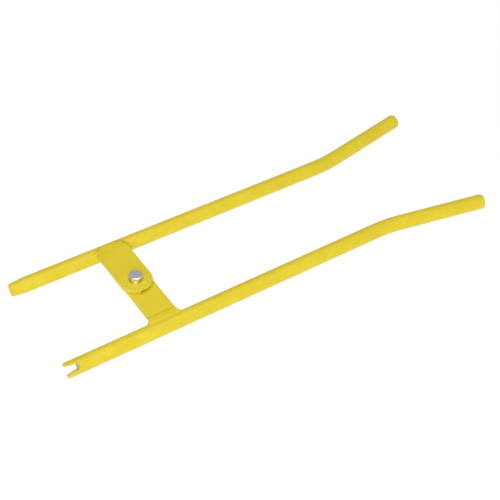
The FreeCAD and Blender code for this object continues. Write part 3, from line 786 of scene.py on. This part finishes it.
def hex_block_rings(base, face, flats, turn, washer_face):
    """Rings of a hexagon from its bearing face to its crowned outer face."""
    sign = 1 if face > base else -1
    crown_r = 0.955 * flats / 2
    slope = math.tan(math.radians(30))
    edge = 0.35 * MM

    def hexagon(angle):
        return hex_radius(angle, flats, turn)

    def crowned(radius):
        return face - sign * (edge * 0.4 + (radius - crown_r) * slope)

    bearing_r = 0.95 * flats / 2
    return [
        circle(bearing_r, base),
        circle(bearing_r, base + sign * washer_face),
        polar_ring(lambda a: hexagon(a) - 0.2 * MM, lambda r: base + sign * washer_face),
        polar_ring(hexagon, lambda r: base + sign * (washer_face + 0.2 * MM)),
        polar_ring(hexagon, lambda r: crowned(r) - sign * 0.15 * MM),
        polar_ring(lambda a: hexagon(a) - 0.12 * MM, crowned),
        polar_ring(lambda a: crown_r, crowned),
        circle(crown_r - edge, face),
    ]


def threaded_rings(low, high):
    """The bolt's shank from its chamfered end up, with a rolled thread below a plain length."""
    steps_per_turn = 10
    plain_from = low + THREAD_LENGTH
    count = int(THREAD_LENGTH / THREAD_PITCH * steps_per_turn)
    depth = 0.6 * THREAD_PITCH
    rings = []
    for step in range(count + 1):
        height = low + step * THREAD_PITCH / steps_per_turn
        end_cone = BOLT_R - 1.3 * MM + (height - low)
        run_out = min(1.0, max(0.0, (plain_from - height) / THREAD_PITCH))

        def radius_of(angle, height=height, end_cone=end_cone, run_out=run_out):
            turns = (height - low) / THREAD_PITCH - angle / (2 * math.pi)
            saw = abs(2 * (turns - math.floor(turns)) - 1)
            groove = min(1.0, max(0.0, 1.25 * saw - 0.125)) * depth * run_out
            return min(BOLT_R - groove, end_cone)

        rings.append(polar_ring(radius_of, lambda r, height=height: height))
    rings.append(circle(BOLT_R, high))
    return rings


def make_bolt_piece():
    """The bolt: a threaded shank, and a hexagon head whose top is very slightly hollow."""
    low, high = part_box("pivot_bolt")
    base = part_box("pivot_washers")[1][2]
    shank = threaded_rings(low[2], base)
    head = hex_block_rings(base, high[2], HEX_FLATS, HEAD_TURN, washer_face=0.4 * MM)
    dish = [
        circle(0.80 * HEX_FLATS / 2, high[2] - 0.02 * MM),
        circle(0.40 * HEX_FLATS / 2, high[2] - 0.05 * MM),
    ]
    verts, faces = stitch_rings(shank + head + dish)
    place_piece("hinge_bolt", verts, faces, ZINC, "pivot_bolt", "left_arm", 32.0)


def make_nut_piece():
    """The thin self-locking nut, with a collar round its insert."""
    low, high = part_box("lock_nut")
    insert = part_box("nut_insert")
    collar_r = HEX_FLATS / 2 - 1.0 * MM
    collar_top = low[2] + 2.6 * MM
    insert_r = (insert[1][0] - insert[0][0]) / 2
    body = hex_block_rings(high[2], collar_top, HEX_FLATS, NUT_TURN, washer_face=0.3 * MM)
    collar = [
        circle(collar_r + 0.25 * MM, collar_top),
        circle(collar_r, collar_top - 0.25 * MM),
        circle(collar_r, low[2] + 0.7 * MM),
        circle(collar_r - 0.15 * MM, low[2] + 0.3 * MM),
        circle(collar_r - 0.5 * MM, low[2] + 0.04 * MM),
        circle(insert_r + 0.15 * MM, low[2]),
        circle(insert_r, low[2] + 0.15 * MM),
        circle(insert_r, insert[1][2]),
        circle(BOLT_R, insert[1][2]),
        circle(BOLT_R, high[2]),
    ]
    bore = [circle(BOLT_R, high[2])]
    verts, faces = stitch_rings(bore + body + collar, closed_ends=False)
    place_piece("prevailing_nut", verts, faces, ZINC, "lock_nut", "left_arm", 32.0)


def make_washer_piece():
    """The two equal washers, under the nut and under the head."""
    low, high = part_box("pivot_washers")
    radius = (high[0] - low[0]) / 2
    thickness = 1.6 * MM
    verts, faces = [], []
    for bottom in (low[2], high[2] - thickness):
        section = rounded_profile(BOLT_R, radius, bottom, bottom + thickness, 0.3 * MM)
        more_verts, more_faces = turned_ring(section)
        start = len(verts)
        verts += more_verts
        faces += [tuple(start + i for i in face) for face in more_faces]
    place_piece("flat_washers", verts, faces, GOLD_TINT_METAL, "pivot_washers", "left_arm",
                35.0)


make_fork_tips()
for plate_word in ("left", "right"):
    make_plate_piece(plate_word)
make_welds()
make_bolt_piece()
make_nut_piece()
make_washer_piece()

# Stage ----------------------------------------------------------------------------------------


def make_floor():
    bpy.ops.mesh.primitive_plane_add(size=12.0, location=(0, 0, 0))
    floor = bpy.context.object
    floor.name = "studio_floor"
    material, nodes, _ = new_material("pale_floor")
    shader = nodes["Principled BSDF"]
    shader.inputs["Base Color"].default_value = (0.16, 0.16, 0.16, 1)
    shader.inputs["Roughness"].default_value = 1.0
    shader.inputs["Specular IOR Level"].default_value = 0.0
    shader.inputs["Emission Color"].default_value = (1, 1, 1, 1)
    shader.inputs["Emission Strength"].default_value = 0.89
    floor.data.materials.append(material)


def area_light(name, place, size, power):
    """A square soft light that faces the middle of the floor."""
    data = bpy.data.lights.new(name, "AREA")
    data.shape = "SQUARE"
    data.size = size
    data.energy = power
    lamp = bpy.data.objects.new(name, data)
    bpy.context.collection.objects.link(lamp)
    lamp.location = place
    lamp.rotation_euler = (-Vector(place)).to_track_quat("-Z", "Y").to_euler()


def sight_line(azimuth, elevation):
    """The direction from the object to an eye at these angles, in degrees."""
    azimuth = math.radians(azimuth)
    elevation = math.radians(elevation)
    return Vector((
        math.sin(azimuth) * math.cos(elevation),
        -math.cos(azimuth) * math.cos(elevation),
        math.sin(elevation),
    ))


def make_camera():
    """The camera that was fitted to the photograph."""
    target = PIVOT + Vector((0.187526, -0.022355, 0.0))
    back = sight_line(azimuth=-31.4, elevation=44.81)
    distance = 1.8779
    data = bpy.data.cameras.new("camera")
    data.lens = 87.0
    data.sensor_width = 36.0
    data.shift_x = -0.001
    data.shift_y = 0.001
    camera = bpy.data.objects.new("camera", data)
    bpy.context.collection.objects.link(camera)
    camera.location = target + back * distance
    camera.rotation_euler = (-back).to_track_quat("-Z", "Y").to_euler()
    bpy.context.scene.camera = camera


def make_world():
    world = bpy.data.worlds.new("studio")
    world.use_nodes = True
    background = world.node_tree.nodes["Background"]
    background.inputs["Color"].default_value = (1, 1, 1, 1)
    background.inputs["Strength"].default_value = 0.36
    bpy.context.scene.world = world


make_floor()
make_camera()
make_world()
area_light("front_light", sight_line(azimuth=-35, elevation=33) * 2.4, size=1.5, power=26.5)
area_light("top_light", (-0.1, -0.1, 2.2), size=1.6, power=19.0)
bpy.context.scene.view_settings.view_transform = "Standard"
